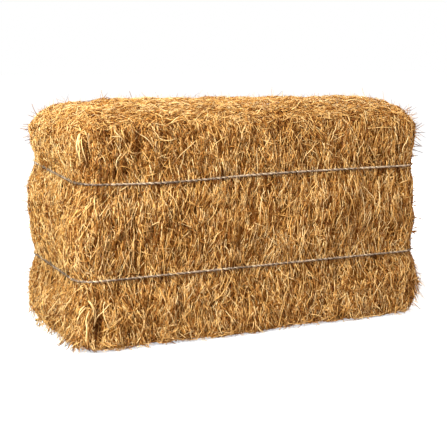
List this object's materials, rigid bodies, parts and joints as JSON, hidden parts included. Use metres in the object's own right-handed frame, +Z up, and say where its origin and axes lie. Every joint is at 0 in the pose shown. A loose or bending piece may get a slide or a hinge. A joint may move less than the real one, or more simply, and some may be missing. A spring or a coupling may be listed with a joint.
{
  "type": "square straw bale",
  "caption": "Small square bale of pressed straw, tied lengthways with loops of twine, standing on its narrow side.",
  "frame": {"origin": "middle of the underside, on the surface that the bale stands on", "axes": "+X along the bale's length, +Y from its front to its back, where the knots are, +Z up"},
  "size_m": [0.8094, 0.3383, 0.475],
  "materials": {
    "straw": "dry pressed straw, matt golden brown stems with a slight waxy sheen",
    "twine": "grey twisted baler twine, matt"
  },
  "bodies": {
    "root": {"flake_01": "straw", "flake_02": "straw", "flake_03": "straw", "flake_04": "straw", "flake_05": "straw", "flake_06": "straw", "flake_07": "straw", "flake_08": "straw", "flake_09": "straw", "flake_10": "straw", "flake_11": "straw", "twine_lower": "twine", "twine_upper": "twine"}
  },
  "joints": []
}
